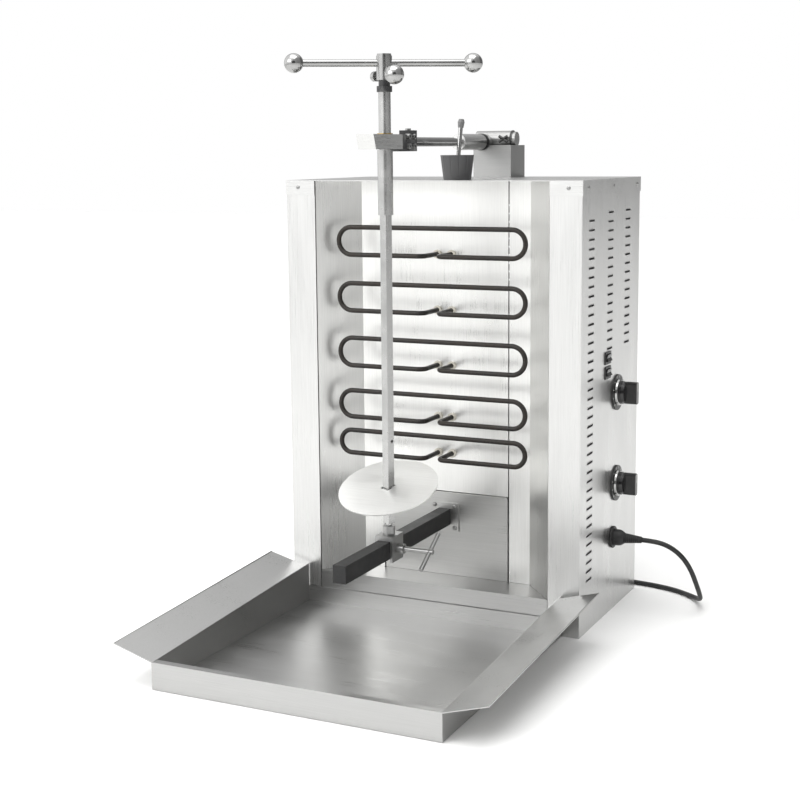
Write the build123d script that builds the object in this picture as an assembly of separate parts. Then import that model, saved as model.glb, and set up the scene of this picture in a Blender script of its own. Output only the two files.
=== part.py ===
"""Electric vertical spit grill (rotisserie oven): cabinet, heated recess, spit, arm, rail and drip tray.

Millimetres, +Z up, front towards -Y, right towards +X. The origin is on the table, under the middle of
the object's outline. Each piece is written to parts/NODE.step.
"""
from build123d import *
import math
import os

# ---- driving dimensions -------------------------------------------------------------------------
BODY_W = 540.0          # cabinet width
BODY_D = 314.0          # cabinet depth
BODY_H = 750.0          # cabinet height to the top of the lid
TRAY_L = 482.0          # drip tray in front of the cabinet
TRAY_W = 478.0          # drip tray, outside its side walls
SHEET = 1.2             # cabinet sheet
PLATE = 1.5             # reflector and tray sheet
GAP = 0.3               # working gap between neighbouring sheets
JOINT = 1.3             # half of the open joint beside the middle back plates
LIP = SHEET + 0.1       # how far the lid's rim stands proud of the walls

DEPTH = BODY_D + TRAY_L
TRAY_Y = -DEPTH / 2     # front of the tray
FRONT = TRAY_Y + TRAY_L  # front plane of the cabinet
REAR = DEPTH / 2        # rear of the lid's rim
HALF = BODY_W / 2
PANEL_FACE = HALF - LIP  # outer face of the side panels
WALL_TOP = BODY_H - SHEET

# cabinet front and recess
LID_DROP = 25.0         # downturned rim of the lid
STRIP_IN = 214.0        # inner edge of each front strip
WING_X = 157.0          # where each side wing meets the back of the recess
RECESS_D = 66.0         # depth of the recess
PANEL_X = 118.0         # half width of the middle back plates
FLOOR_Z = 60.0          # floor of the recess
SPLIT_Z = 209.0         # joint between the upper reflector and the lower back plate
BACK = FRONT + RECESS_D

# heating elements
TUBE_D = 8.2
LOOP_HALF = 171.0       # half length of a loop, to the outside of its end bends
LOOP_Y = FRONT + 6.0
LOOP_Z = (647.0, 551.0, 456.0, 365.0, 298.0)
LOOP_H = (47.0, 47.0, 48.0, 46.0, 40.0)
LEG_X = 13.0            # the two ends turn back into the wall this far from the middle
LEG_BEND = 12.0

# spit
SPIT_Y = FRONT - 157.0
SPIT_TURN = -19.0       # the square shaft, turned from the X axis
SQUARE = 13.0           # square spit shaft
SLEEVE_D = 24.0         # sleeve under the arm
NECK_D = 19.0           # shaft through the arm's bush
SHAFT_Z0 = 206.0
SLEEVE_Z0 = 700.0
NECK_Z0 = 800.6
COLLAR_Z0 = 889.0
HUB_Z0 = 907.0
SPIT_TOP = 947.0
PLATE_Z = 265.0
PLATE_R = 81.0
PLATE_TILT = 20.7       # the loose meat plate leans to the front on its pin
PIN_R = 2.5
HANDLE_TURN = 33.0      # the two-ball handle, turned from the X axis
HANDLE_R = 139.0
HANDLE_Z = 933.0
HUB_SCREW_Z = 914.0
BALL_R = 15.0

# arm
ARM_Z = 813.0
ROD_D = 15.0            # sliding rod of the arm
SOCKET_D = 28.0         # fixed tube that takes the rod
CROSS_D = 29.0          # cross tube on the housing
CROSS_Y = FRONT + 262.0
CROSS_Z = 818.0

# rail and slider
RAIL_W = 22.0
RAIL_Z0 = 152.0
RAIL_Z1 = 180.0
RAIL_L = 388.0
SADDLE_X = RAIL_W / 2 + 4.4
CLAMP_Z = 166.0
CUP_Z = RAIL_Z1 + 8

# right-hand side
KNOB_Y = FRONT + 192.0
KNOB_Z = (383.0, 223.0)
SWITCH_Y = FRONT + 137.0
SWITCH_Z = (450.0, 425.0)
GLAND_Y = FRONT + 176.0
GLAND_Z = 130.0
SLOT_PITCH = 15.3
SLOT_L = 30.0
SLOT_H = 4.2
SLOT_ROWS = ((48.0, 88.0, 695.0), (148.0, 465.0, 696.0), (244.0, 465.0, 696.0))

# mains lead: the free route, then a stored coil behind the cabinet
CORD_D = 8.4
COIL_R = 53.0           # outer turns of the coil, to the middle of the lead
COIL_AT = (112.0, 474.6)
COIL_H = 2 * CORD_D + 3
CORD_ROUTE = ((322, 260, 130), (348, 260, 130), (372.6, 262.6, 122), (392.5, 268.3, 104.6),
              (404.8, 276.6, 80.9), (411.2, 287.6, 54.8), (413.1, 305.4, 31.9), (408.7, 330.2, 15.6),
              (395.6, 357, 7.1), (373.8, 380.3, 4.5), (344.1, 398.8, 4.5), (308, 410.5, 4.5),
              (266.5, 417.1, 4.5), (221.6, 419.5, 4.5), (178, 422.4, 4.5), (143, 421.6, 4.5))
PARTS = {}


# ---- small helpers ------------------------------------------------------------------------------
def block(x0, x1, y0, y1, z0, z1):
    return Pos((x0 + x1) / 2, (y0 + y1) / 2, (z0 + z1) / 2) * Box(x1 - x0, y1 - y0, z1 - z0)


def rod(radius, start, end, inner=0.0):
    """A round bar or tube between two points."""
    a, b = Vector(*start), Vector(*end)
    face = Circle(radius) - Circle(inner) if inner else Circle(radius)
    return extrude(Plane(origin=a, z_dir=b - a) * face, (b - a).length)


def cone(r0, r1, start, end):
    a, b = Vector(*start), Vector(*end)
    return Plane(origin=a, z_dir=b - a) * loft([Circle(r0), Pos(0, 0, (b - a).length) * Circle(r1)])


def prism_z(points, z0, z1):
    return Pos(0, 0, z0) * extrude(make_face(Polyline(*points, close=True)), z1 - z0)


def prism_x(points, x0, x1):
    """Extrude a (y, z) outline along X."""
    return extrude(Plane.YZ.offset(x0) * make_face(Polyline(*points, close=True)), x1 - x0)


def wall_strip(path, thick, z0, z1):
    """A folded vertical sheet: its visible side follows path, its thickness lies to the left of travel."""
    normals = []
    for a, b in zip(path, path[1:]):
        length = math.dist(a, b)
        normals.append((-(b[1] - a[1]) / length, (b[0] - a[0]) / length))
    back = []
    for i, point in enumerate(path):
        n1 = normals[max(i - 1, 0)]
        n2 = normals[min(i, len(normals) - 1)]
        scale = thick / (1 + n1[0] * n2[0] + n1[1] * n2[1])
        back.append((point[0] + (n1[0] + n2[0]) * scale, point[1] + (n1[1] + n2[1]) * scale))
    return prism_z(list(path) + back[::-1], z0, z1)


def group(shapes):
    return Compound(children=list(shapes))


def add(name, shape):
    PARTS[name] = shape


def slot(centre, length, height, turn):
    """The cutter of one rounded ventilation slot, along X (turn 0) or Y (turn 90)."""
    flat = Pos(*centre) * Rot(0, 0, turn) * Rot(90, 0, 0)
    return flat * extrude(SlotOverall(length, height), 3, both=True)


def screw_head(centre, direction, radius=3.4, height=1.8):
    a = Vector(*centre)
    return rod(radius, a, a + Vector(*direction) * height)


# ---- cabinet ------------------------------------------------------------------------------------
def base():
    x, y0, y1 = PANEL_FACE - 2 * SHEET, FRONT + PLATE + GAP, REAR - LIP - SHEET - 0.1
    pan = block(-x, x, y0, y1, 0, SHEET)
    pan += block(-x, x, y0, y1, SHEET, 32) - block(-x + SHEET, x - SHEET, y0 + SHEET, y1 - SHEET, 0, 40)
    add("base_pan", pan)


def walls():
    rear = REAR - LIP
    right = block(PANEL_FACE - SHEET, PANEL_FACE, FRONT, rear - SHEET, 0, WALL_TOP)
    cuts = [slot((PANEL_FACE, FRONT + column, low + i * SLOT_PITCH), SLOT_L, SLOT_H, 90)
            for column, low, high in SLOT_ROWS for i in range(int((high - low) / SLOT_PITCH) + 1)]
    cuts += [rod(5.0, (PANEL_FACE - 3, KNOB_Y, z), (PANEL_FACE + 1, KNOB_Y, z)) for z in KNOB_Z]
    cuts += [block(PANEL_FACE - 3, PANEL_FACE + 1, SWITCH_Y - 12.2, SWITCH_Y + 12.2, z - 7.7, z + 7.7)
             for z in SWITCH_Z]
    cuts.append(rod(10.2, (PANEL_FACE - 3, GLAND_Y, GLAND_Z), (PANEL_FACE + 1, GLAND_Y, GLAND_Z)))
    add("side_panel_right", right - cuts)
    add("side_panel_left", block(-PANEL_FACE, SHEET - PANEL_FACE, FRONT, rear - SHEET, 0, WALL_TOP))

    back = block(-PANEL_FACE, PANEL_FACE, rear - SHEET, rear, 0, WALL_TOP)
    vents = [slot((x, rear, 560 + i * SLOT_PITCH), 40, SLOT_H, 0)
             for x in (-90, -30, 30, 90) for i in range(10)]
    add("rear_panel", back - vents)

    edge = PANEL_FACE - SHEET - 0.1
    strip = block(STRIP_IN, edge, FRONT, FRONT + SHEET, 0.5, WALL_TOP)
    strip += block(edge - SHEET, edge, FRONT + SHEET, FRONT + 14, 33, WALL_TOP)
    add("front_strip_right", strip)
    add("front_strip_left", mirror(strip, Plane.YZ))


def lid():
    y0, y1, z0 = FRONT - LIP, REAR, BODY_H - LID_DROP
    cover = block(-HALF, HALF, y0, y1, WALL_TOP, BODY_H)
    cover += block(-HALF, HALF, y1 - SHEET, y1, z0, WALL_TOP)
    for side in (-1, 1):
        outer, inner = side * HALF, side * (HALF - SHEET)
        cover += block(min(outer, inner), max(outer, inner), y0, y1, z0, WALL_TOP)
        outer, inner = side * HALF, side * STRIP_IN
        cover += block(min(outer, inner), max(outer, inner), y0, y0 + SHEET, z0, WALL_TOP)
    add("lid", cover)

    screw_z = BODY_H - 12
    heads = [screw_head((side * 246, y0, screw_z), (0, -1, 0)) for side in (-1, 1)]
    heads += [screw_head((side * HALF, y, screw_z), (side, 0, 0))
              for side in (-1, 1) for y in (FRONT + 26, FRONT + 157, REAR - 22)]
    heads += [screw_head((side * 19, BACK - 3, z), (0, -1, 0), 4.0, 3.0)
              for side in (-1, 1) for z in (RAIL_Z0 - 6, RAIL_Z1 + 5)]
    add("cabinet_screws", group(heads))


def recess():
    """Splayed wings with their border strips, two middle plates and the floor of the heated recess."""
    start = FRONT + SHEET + 0.2
    corner = STRIP_IN - (STRIP_IN - WING_X) * (start - FRONT) / RECESS_D
    path = [(PANEL_X + JOINT, BACK), (WING_X, BACK), (corner, start)]
    wing = wall_strip(path, PLATE, FLOOR_Z + GAP, WALL_TOP - GAP)
    add("side_wing_right", wing)
    add("side_wing_left", mirror(wing, Plane.YZ))
    holes = [rod(5.5, (side * LEG_X, BACK - 1, z - height / 2), (side * LEG_X, BACK + 12, z - height / 2))
             for z, height in zip(LOOP_Z, LOOP_H) for side in (-1, 1)]
    x = PANEL_X - JOINT
    add("back_reflector", block(-x, x, BACK + 2, BACK + 2 + PLATE, SPLIT_Z + 1, WALL_TOP - GAP) - holes)
    lower = block(-x, x, BACK, BACK + PLATE, FLOOR_Z + GAP, SPLIT_Z)
    lower += block(-x, x, BACK - 4, BACK, SPLIT_Z - PLATE, SPLIT_Z)
    add("lower_back_plate", lower)
    floor = prism_z([(1 - STRIP_IN, FRONT), (STRIP_IN - 1, FRONT), (WING_X, BACK + 3), (-WING_X, BACK + 3)],
                    FLOOR_Z - PLATE, FLOOR_Z)
    apron = block(1 - STRIP_IN, STRIP_IN - 1, FRONT, FRONT + PLATE, 0.5, FLOOR_Z - PLATE)
    add("recess_floor", floor + apron)


# ---- heating ------------------------------------------------------------------------------------
def element_path(z, height):
    """Centre line of one loop: out of the wall, along, round both ends, along and back into the wall."""
    low, high, r = z - height / 2, z + height / 2, height / 2
    y, half = LOOP_Y, LOOP_HALF - height / 2
    wall = BACK + 14
    first = FilletPolyline((LEG_X, wall, low), (LEG_X, y, low), (half, y, low), radius=LEG_BEND)
    right_end = ThreePointArc((half, y, low), (half + r, y, z), (half, y, high))
    top_bar = Line((half, y, high), (-half, y, high))
    left_end = ThreePointArc((-half, y, high), (-half - r, y, z), (-half, y, low))
    last = FilletPolyline((-half, y, low), (-LEG_X, y, low), (-LEG_X, wall, low), radius=LEG_BEND)
    return first + right_end + top_bar + left_end + last


def heating():
    bushes = []
    for index, (z, height) in enumerate(zip(LOOP_Z, LOOP_H), start=1):
        path = element_path(z, height)
        add(f"heating_element_{index}", sweep(Plane(origin=path @ 0, z_dir=path % 0) * Circle(TUBE_D / 2), path))
        low = z - height / 2
        for x in (-LEG_X, LEG_X):
            bushes.append(rod(7.5, (x, BACK - 2.0, low), (x, BACK + 1.9, low), TUBE_D / 2 + 0.1))
            bushes.append(rod(3.0, (x, BACK + 14.1, low), (x, BACK + 26, low)))
    add("element_bushes", group(bushes))


# ---- tray ---------------------------------------------------------------------------------------
def drip_tray():
    """Folded pan with a low front, sides that rise to the rear and two splash flaps that lean out."""
    half, rear = TRAY_W / 2, FRONT - 2.0
    floor_z, front_h, rear_h, flap, rise = 1.0, 43.5, 70.0, 69.0, 20.5
    tip = half + flap
    pan = block(-half, half, TRAY_Y, rear, floor_z, floor_z + PLATE)
    pan += block(-half, half, TRAY_Y, TRAY_Y + PLATE, floor_z, front_h)
    pan += block(-half, half, TRAY_Y, TRAY_Y + 13, front_h - PLATE, front_h)
    pan += block(-half, half, rear - PLATE, rear, floor_z, 30)
    side = prism_x([(TRAY_Y, floor_z), (rear, floor_z), (rear, rear_h), (TRAY_Y, front_h)], half - PLATE, half)

    def flap_section(y, z, lift):
        return Plane.XZ.offset(-y) * make_face(Polyline(
            (half - PLATE, z - PLATE), (tip, z + lift - PLATE), (tip, z + lift), (half - PLATE, z), close=True))

    right = side + loft([flap_section(TRAY_Y, front_h, rise), flap_section(rear - 12, rear_h - 1, rise - 2)])
    add("drip_tray", pan + right + mirror(right, Plane.YZ))


# ---- rail and slider ----------------------------------------------------------------------------
def rail():
    end = BACK - 3.0
    front = end - RAIL_L
    half = RAIL_W / 2
    bar = block(-half, half, front, end, RAIL_Z0, RAIL_Z1)
    bar -= block(3 - half, half - 3, front - 1, end - 6, RAIL_Z0 - 1, RAIL_Z1 - 3)
    add("guide_rail", bar)
    add("rail_end_cap", block(-half, half, front - 3, front, RAIL_Z0, RAIL_Z1))
    add("rail_flange", block(-26, 26, end, BACK, RAIL_Z0 - 12, RAIL_Z1 + 10))


def slider():
    """Saddle on the rail with the spit's lower bearing cup, and a clamp screw with a cross bar."""
    channel = RAIL_W / 2 + 0.4
    saddle = block(-SADDLE_X, SADDLE_X, SPIT_Y - 20, SPIT_Y + 20, RAIL_Z0 - 6, CUP_Z)
    saddle -= block(-channel, channel, SPIT_Y - 21, SPIT_Y + 21, RAIL_Z0 - 7, RAIL_Z1 + 0.4)
    saddle += rod(8, (SADDLE_X, SPIT_Y, CLAMP_Z), (SADDLE_X + 12, SPIT_Y, CLAMP_Z))
    saddle -= rod(4.06, (SADDLE_X - 6, SPIT_Y, CLAMP_Z), (SADDLE_X + 13, SPIT_Y, CLAMP_Z))
    saddle += rod(10, (0, SPIT_Y, CUP_Z), (0, SPIT_Y, CUP_Z + 14))
    saddle -= rod(5.06, (0, SPIT_Y, CUP_Z + 3), (0, SPIT_Y, CUP_Z + 15))
    add("slider_saddle", saddle)
    tilt = math.radians(32)
    dy, dz = 40 * math.cos(tilt), 40 * math.sin(tilt)
    screw = rod(4.0, (RAIL_W / 2 + 0.8, SPIT_Y, CLAMP_Z), (78, SPIT_Y, CLAMP_Z))
    screw += rod(3.5, (72, SPIT_Y - dy, CLAMP_Z - dz), (72, SPIT_Y + dy, CLAMP_Z + dz))
    add("clamp_screw", screw)


# ---- spit ---------------------------------------------------------------------------------------
def on_axis(z):
    return (0, SPIT_Y, z)


def spit():
    half = SQUARE / 2
    shaft = block(-half, half, SPIT_Y - half, SPIT_Y + half, SHAFT_Z0, SLEEVE_Z0)
    shaft = shaft.rotate(Axis(on_axis(0), (0, 0, 1)), SPIT_TURN)
    shaft += rod(5.0, on_axis(CUP_Z + 3.4), on_axis(SHAFT_Z0))
    tilt = math.radians(PLATE_TILT)
    pin_gap = 1 + PIN_R + GAP
    pin_z = PLATE_Z - pin_gap * math.cos(tilt)
    for z in (pin_z, 340):
        shaft -= rod(PIN_R, (-12, SPIT_Y, z), (12, SPIT_Y, z))
    add("spit_shaft", shaft)
    add("plate_pin", rod(PIN_R, (-26, SPIT_Y, pin_z), (26, SPIT_Y, pin_z)))
    sleeve = rod(SLEEVE_D / 2, on_axis(SLEEVE_Z0), on_axis(NECK_Z0))
    add("spit_sleeve", sleeve + rod(NECK_D / 2, on_axis(NECK_Z0), on_axis(COLLAR_Z0)))
    hole = Box(SQUARE + 4, SQUARE + 6, 6).rotate(Axis.Z, SPIT_TURN)
    centre = Pos(0, SPIT_Y - pin_gap * math.sin(tilt), PLATE_Z)
    add("meat_plate", centre * Rot(PLATE_TILT, 0, 0) * (Cylinder(PLATE_R, 2.0) - hole))


def handle():
    """Collar, hub and cross bar with two balls, and a hub screw with a third ball."""
    add("handle_collar", rod(12, on_axis(COLLAR_Z0), on_axis(898)) + rod(9, on_axis(898), on_axis(HUB_Z0)))
    turn = math.radians(HANDLE_TURN)
    ux, uy = math.cos(turn), math.sin(turn)
    vx, vy = 0.80, -0.60

    def along_bar(r):
        return (ux * r, SPIT_Y + uy * r, HANDLE_Z)

    def along_screw(r):
        return (vx * r, SPIT_Y + vy * r, HUB_SCREW_Z)

    reach = HANDLE_R - 12
    bar = rod(5.6, along_bar(-reach), along_bar(reach))
    pin = rod(4.0, along_screw(-26), along_screw(24))
    hub = rod(12.2, on_axis(HUB_Z0), on_axis(SPIT_TOP - 3)) + rod(11, on_axis(SPIT_TOP - 3), on_axis(SPIT_TOP))
    add("handle_hub", hub - bar - pin)
    add("handle_bar", bar)
    add("hub_screw", pin + rod(8, along_screw(-34), along_screw(-24)))
    balls = [Pos(*along_bar(r)) * Sphere(BALL_R) - bar for r in (-HANDLE_R, HANDLE_R)]
    balls.append(Pos(*along_screw(34)) * Sphere(BALL_R) - pin)
    add("handle_balls", group(balls))


# ---- arm ----------------------------------------------------------------------------------------
def arm():
    """Flat plate with the spit's upper bush, clamp block and the rod that slides in the fixed tube."""
    plate_y0, clamp_y0, rod_y0, rod_y1 = FRONT - 226, FRONT - 125, FRONT - 72, FRONT + 208
    low, high = ARM_Z - 11.5, ARM_Z + 11.5
    plate = prism_x([(plate_y0 + 8, low), (clamp_y0, low), (clamp_y0, high), (plate_y0, high)], -15, 15)
    add("arm_plate", plate - rod(12.5, on_axis(790), on_axis(840)))
    add("arm_bush", rod(12.4, on_axis(801.5), on_axis(826), NECK_D / 2 + 0.08))
    clamp = block(-12, 15, clamp_y0, rod_y0, ARM_Z - 15, high)
    clamp += block(-3, 15, rod_y0 - 28, rod_y0, high, ARM_Z + 18)
    add("arm_clamp", clamp - block(-13, 16, clamp_y0 + 12, clamp_y0 + 14, ARM_Z, high + 1))
    heads = [screw_head((6, rod_y0 - 14, ARM_Z + 18), (0, 0, 1), 4.5, 3)]
    heads += [screw_head((15, rod_y0 - y, ARM_Z + z), (1, 0, 0), 4.5, 4) for y in (14, 33) for z in (-7, 8)]
    add("arm_clamp_screws", group(heads))
    add("arm_rod", rod(ROD_D / 2, (0, rod_y0, ARM_Z), (0, rod_y1, ARM_Z)))


def arm_support():
    """Fixed tube, its seal ring, the housing on the lid and the cross tube that crowns the housing."""
    mouth, ring_y, tube_end = FRONT + 126, FRONT + 224, FRONT + 270
    cross = rod(CROSS_D / 2, (-20, CROSS_Y, CROSS_Z), (50, CROSS_Y, CROSS_Z))
    cross += rod(CROSS_D / 2 - 2, (50, CROSS_Y, CROSS_Z), (56, CROSS_Y, CROSS_Z))
    tube = rod(SOCKET_D / 2, (0, mouth, ARM_Z), (0, tube_end, ARM_Z))
    ring = rod(SOCKET_D / 2 + 0.8, (0, ring_y, ARM_Z), (0, ring_y + 9, ARM_Z), SOCKET_D / 2)
    bore = rod(ROD_D / 2 + 0.08, (0, mouth - 1, ARM_Z), (0, tube_end - 2, ARM_Z))
    add("arm_socket", tube - bore)
    add("arm_ring", ring - cross)
    add("arm_cross_tube", cross - tube - bore)
    housing = block(-16, 56, FRONT + 232, FRONT + 300, BODY_H, ARM_Z - 6)
    housing -= block(-14, 54, FRONT + 234, FRONT + 298, BODY_H - 1, ARM_Z - 16)
    add("arm_housing", housing - cross - tube - ring - bore)


def lock_lever():
    cx, cy, base_z, top_z = 37.0, FRONT + 38, BODY_H, BODY_H + 41
    boot = cone(23, 28, (cx, cy, base_z), (cx, cy, top_z))
    for i in range(12):
        a = 2 * math.pi * i / 12
        ux, uy = math.cos(a), math.sin(a)
        boot -= rod(3.2, (cx + 26.5 * ux, cy + 26.5 * uy, base_z + 4), (cx + 30.5 * ux, cy + 30.5 * uy, top_z + 2))
    boot -= block(cx - 6, cx + 6, cy - 22, cy + 22, base_z + 14, top_z + 4)
    pivot_z = base_z + 22
    pin = rod(PIN_R, (cx - 12, cy, pivot_z), (cx + 12, cy, pivot_z))
    add("lever_boot", boot - pin)
    add("lever_pin", pin)
    top = (cx + 3, cy + 8, base_z + 86)
    lever = rod(3.6, (cx, cy, pivot_z - 3), top)
    lever -= rod(PIN_R + 0.06, (cx - 12, cy, pivot_z), (cx + 12, cy, pivot_z))
    add("lever_rod", lever)
    direction = (Vector(*top) - Vector(cx, cy, pivot_z - 3)).normalized()
    add("lever_grip", cone(4.6, 5.8, top, Vector(*top) + direction * 9)
        + cone(5.8, 4.2, Vector(*top) + direction * 9, Vector(*top) + direction * 14))


# ---- controls and supply ------------------------------------------------------------------------
def controls():
    """Two energy regulators with dials and knobs."""
    dials, regulators = [], []
    for name, z in zip(("upper", "lower"), KNOB_Z):
        def at(x):
            return (PANEL_FACE + x, KNOB_Y, z)

        dials.append(rod(31, at(0), at(3.0), 5.0))
        knob = rod(20, at(4.0), at(12)) + cone(19, 17, at(12), at(17))
        grip = block(PANEL_FACE + 15, 306, KNOB_Y - 6.5, KNOB_Y + 6.5, z - 19, z + 19)
        knob += fillet(grip.edges().filter_by(Axis.X), 4)
        add("knob_" + name, knob + rod(3.0, at(-24), at(5)))
        body = block(PANEL_FACE - 52, PANEL_FACE - 6, KNOB_Y - 21, KNOB_Y + 21, z - 21, z + 21)
        regulators.append(body - rod(3.06, at(-25), at(0)))
    add("dial_plates", group(dials))
    add("regulators", group(regulators))


def switches():
    """Two rocker switches: bezel with its body behind the panel, and the rocker."""
    housings = []
    for name, z in zip(("upper", "lower"), SWITCH_Z):
        case = block(PANEL_FACE, PANEL_FACE + 2, SWITCH_Y - 15, SWITCH_Y + 15, z - 10.5, z + 10.5)
        case += block(PANEL_FACE - 22, PANEL_FACE, SWITCH_Y - 12, SWITCH_Y + 12, z - 7.5, z + 7.5)
        case -= block(PANEL_FACE - 10, PANEL_FACE + 3, SWITCH_Y - 11, SWITCH_Y + 11, z - 6.7, z + 6.7)
        housings.append(case)
        x0, x1 = PANEL_FACE - 3, PANEL_FACE + 5.5
        outline = [(x0, z - 5.6), (x1, z - 5.6), (x1 - 2.2, z), (x1, z + 5.6), (x0, z + 5.6)]
        rocker = extrude(Plane.XZ.offset(-SWITCH_Y - 10.4) * make_face(Polyline(*outline, close=True)), 20.8)
        rocker += rod(3.3, (PANEL_FACE, SWITCH_Y - 10.4, z), (PANEL_FACE, SWITCH_Y + 10.4, z))
        add("rocker_" + name, rocker.rotate(Axis((PANEL_FACE, SWITCH_Y, z), (0, 1, 0)), -6))
    add("switch_housings", group(housings))
    add("terminal_block", block(196, 238, 300, 330, 96, 120))


def cord_path():
    """Straight runs joined by arcs as large as the runs allow."""
    points = [Vector(*p) for p in CORD_ROUTE]
    radii = []
    for a, b, c in zip(points, points[1:], points[2:]):
        turn = (b - a).get_angle(c - b)
        shorter = min((b - a).length, (c - b).length)
        radii.append(0.45 * shorter / math.tan(math.radians(turn) / 2))
    print("cord radii", [round(r) for r in radii])
    return FilletPolyline(*points, radius=radii)


def supply():
    """Cable gland, strain relief, the free lead, its stored coil and the plug."""
    def at(x):
        return (PANEL_FACE + x, GLAND_Y, GLAND_Z)

    add("cable_gland", rod(10, at(-12), at(0)) + rod(19, at(0), at(4)) + rod(14, at(4), at(22)))
    add("strain_relief", cone(9, 5.4, at(22), CORD_ROUTE[0]))
    path = cord_path()
    tube = sweep(Plane(origin=path @ 0, z_dir=path % 0) * Circle(CORD_D / 2), path)
    filled = tube.volume / (math.pi * (CORD_D / 2) ** 2 * path.length)
    print("cord tube", round(path.length, 1), "volume ratio", round(filled, 4))
    cx, cy = COIL_AT
    tail_y, tail_z = cy - COIL_R, 2 * CORD_D + 2.4
    tail = rod(CORD_D / 2, (cx - 20, tail_y, tail_z), (cx - 48, tail_y, tail_z))
    add("cord", group([tube, tail]))
    ring = extrude(Circle(COIL_R + CORD_D / 2 + 0.4), COIL_H) - extrude(Circle(COIL_R - 1.5 * CORD_D - 0.4), COIL_H)
    add("cord_coil", Pos(cx, cy, 0.2) * ring - tube - tail)
    x0 = cx - 48
    plug = cone(6, 11, (x0, tail_y, tail_z), (x0 - 22, tail_y, tail_z))
    plug += rod(18.6, (x0 - 22, tail_y, tail_z), (x0 - 52, tail_y, tail_z))
    for dy in (-9.5, 9.5):
        plug += rod(2.4, (x0 - 52, tail_y + dy, tail_z), (x0 - 71, tail_y + dy, tail_z))
    add("plug", plug)


def main():
    for build in (base, walls, lid, recess, heating, drip_tray, rail, slider, spit, handle, arm, arm_support,
                  lock_lever, controls, switches, supply):
        build()
    os.makedirs("parts", exist_ok=True)
    for name, shape in PARTS.items():
        export_step(shape, f"parts/{name}.step")
    print(len(PARTS), "nodes")


main()
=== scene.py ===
"""Looks, light and camera for an electric vertical spit grill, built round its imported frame."""
import math

import bmesh
import bpy
from mathutils import Matrix, Vector


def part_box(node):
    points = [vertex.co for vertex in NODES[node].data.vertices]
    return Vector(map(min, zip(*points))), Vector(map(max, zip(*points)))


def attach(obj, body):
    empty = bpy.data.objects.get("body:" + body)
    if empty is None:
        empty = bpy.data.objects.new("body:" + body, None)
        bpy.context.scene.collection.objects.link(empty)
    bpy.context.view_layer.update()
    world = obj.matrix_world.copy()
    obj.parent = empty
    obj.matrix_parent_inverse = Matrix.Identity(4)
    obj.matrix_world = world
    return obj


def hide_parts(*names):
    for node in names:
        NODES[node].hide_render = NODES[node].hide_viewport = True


bl_info = {
    "name": "Vertical spit grill",
    "version": (1, 0, 0),
    "blender": (4, 5, 0),
    "location": "View3D > Sidebar > Grill",
    "description": "Finishes the pieces of a stainless vertical spit grill and sets its studio",
    "category": "Object",
}

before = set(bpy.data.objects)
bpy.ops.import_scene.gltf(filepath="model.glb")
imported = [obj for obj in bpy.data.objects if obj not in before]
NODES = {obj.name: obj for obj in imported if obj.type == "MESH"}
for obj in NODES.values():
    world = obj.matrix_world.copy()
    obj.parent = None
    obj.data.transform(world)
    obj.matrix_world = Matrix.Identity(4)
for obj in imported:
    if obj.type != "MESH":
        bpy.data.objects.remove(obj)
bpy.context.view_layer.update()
MM = 0.001

# ---- places read from the frame -----------------------------------------------------------------
PANEL_LOW, PANEL_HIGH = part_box("side_panel_right")
RELIEF_LOW, RELIEF_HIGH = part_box("strain_relief")
PLUG_LOW, PLUG_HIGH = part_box("plug")
COIL_LOW, COIL_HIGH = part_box("cord_coil")
REAR_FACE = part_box("rear_panel")[1].y
DIAL_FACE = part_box("dial_plates")[1].x
KNOB_Y = sum(c.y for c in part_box("knob_upper")) / 2
KNOB_Z = tuple(sum(c.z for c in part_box("knob_" + level)) / 2 for level in ("upper", "lower"))

# ---- cooling slots ------------------------------------------------------------------------------
SLOT_PITCH = 15.3 * MM
SLOT_HEIGHT = 4.2 * MM
SLOT_RIM = 0.55 * MM     # radius of the rolled rim round a slot
SIDE_SLOT = 30 * MM      # length of a slot in the side panel
REAR_SLOT = 40 * MM      # length of a slot in the rear panel
SIDE_COLUMNS = (         # distance behind the side panel's front edge, height of the lowest and highest row
    (0.048, 0.088, 0.695), (0.148, 0.465, 0.696), (0.244, 0.465, 0.696),
)
REAR_COLUMNS = (-0.09, -0.03, 0.03, 0.09)
REAR_ROWS = 10
REAR_LOWEST = 0.560      # height of the rear panel's lowest row

# ---- dials and knobs ----------------------------------------------------------------------------
TICKS = 10
TICK_ARC = 27.5 * MM     # radius of the arc of ticks
TICK_LENGTH = 4.4 * MM
TICK_WIDTH = 1.1 * MM
TICK_INK = 0.12 * MM     # thickness of the print
SKIRT_PROFILE = (        # distance from the dial and radius, in millimetres
    (0, 19.0), (0, 22.6), (0.5, 23.4), (3.4, 22.4), (4.4, 20.6), (4.4, 19.0), (0, 19.0),
)
LINE_RADIUS = 0.7 * MM   # half the width of a knob's white line
LINE_INSET = 3 * MM      # from the line's ends to the knob's middle and rim

# ---- cable inlet --------------------------------------------------------------------------------
GLAND_PROFILE = (        # distance from the side panel and radius, in millimetres
    (0, 0), (0, 18.4), (0.5, 19.0), (3.2, 19.0), (4.0, 18.0), (4.0, 15.0), (5.0, 15.0), (5.0, 14.0),
    (13.0, 14.0), (17.0, 13.0), (20.2, 11.0), (22.0, 9.6), (22.0, 0),
)

# ---- drip tray ----------------------------------------------------------------------------------
HEM_RADIUS = 0.9 * MM
HEM_FRONT, HEM_REAR = 63.2 * MM, 87.6 * MM   # height of a flap's outer edge at its two ends
FLAP_SHORT = 12.9 * MM   # from the hem's rear end to the tray's rear edge

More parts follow.
